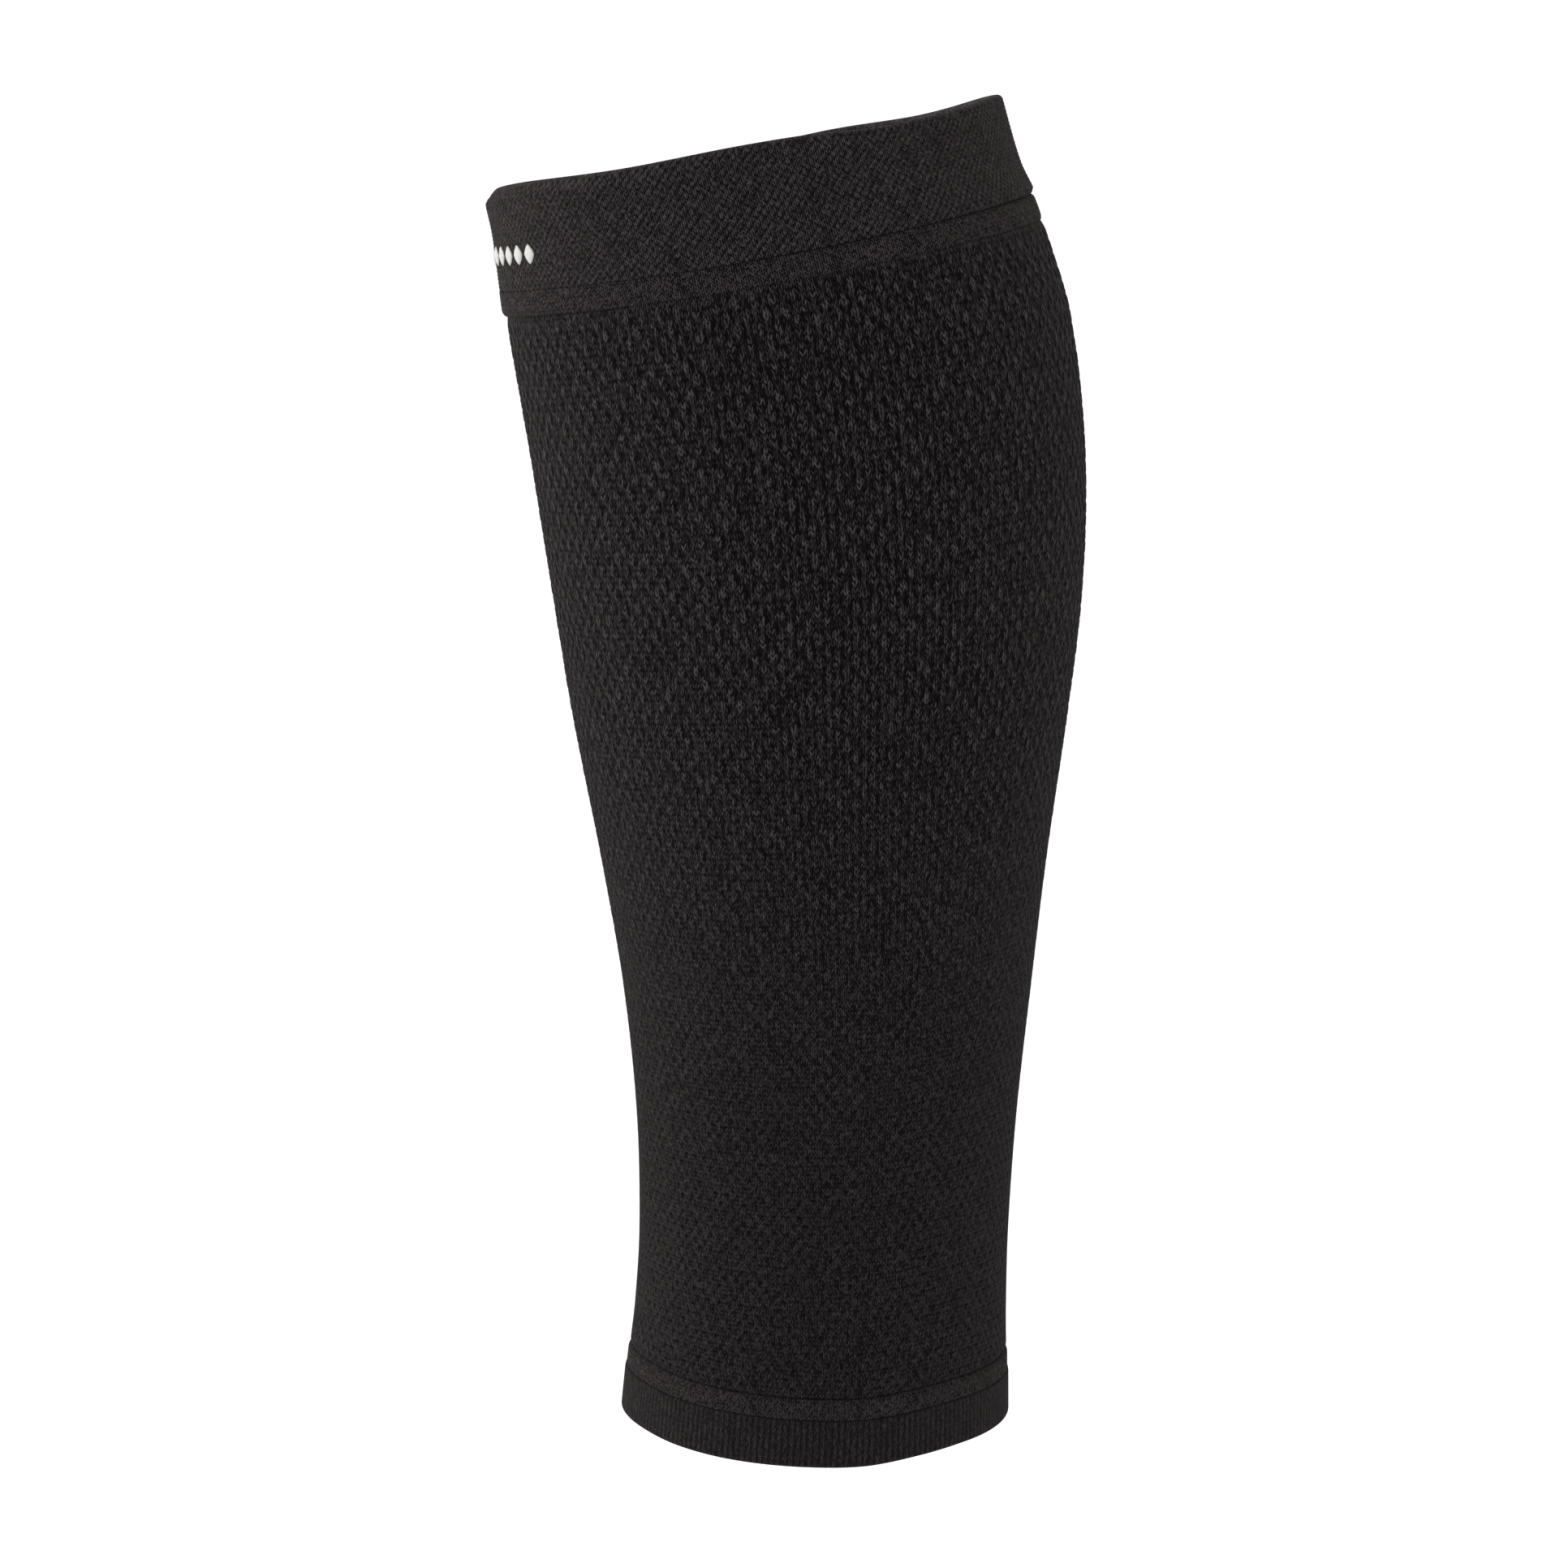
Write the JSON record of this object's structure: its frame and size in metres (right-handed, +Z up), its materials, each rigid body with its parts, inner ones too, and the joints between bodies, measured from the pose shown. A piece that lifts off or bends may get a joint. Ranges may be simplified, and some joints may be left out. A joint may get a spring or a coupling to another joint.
{
  "type": "calf compression sleeve",
  "caption": "Knitted calf compression sleeve in its worn form, an open tube with a slanted turned cuff below the knee, a blister-knit body and a ribbed cuff at the ankle.",
  "frame": {"origin": "inside the hollow, at the middle of the fullest girth of the calf, where the leg holds the sleeve", "axes": "+Z up the leg to the knee, -Y to the shin, +Y to the back of the calf, X across"},
  "size_m": [0.114, 0.1305, 0.296],
  "materials": {
    "tuck_knit": "black tuck knit of nylon and elastane, matt with a soft bloom at grazing angles",
    "plain_knit": "black plain knit of nylon and elastane, matt",
    "blister_knit": "black blister knit of nylon and elastane, matt, with raised ovals in staggered rows",
    "rib_knit": "black rib knit of nylon and elastane, matt, with upright ribs"
  },
  "bodies": {
    "root": {"upper_cuff": "tuck_knit", "upper_join_band": "plain_knit", "calf_body": "blister_knit", "lower_join_band": "plain_knit", "ankle_cuff": "rib_knit"}
  },
  "joints": []
}
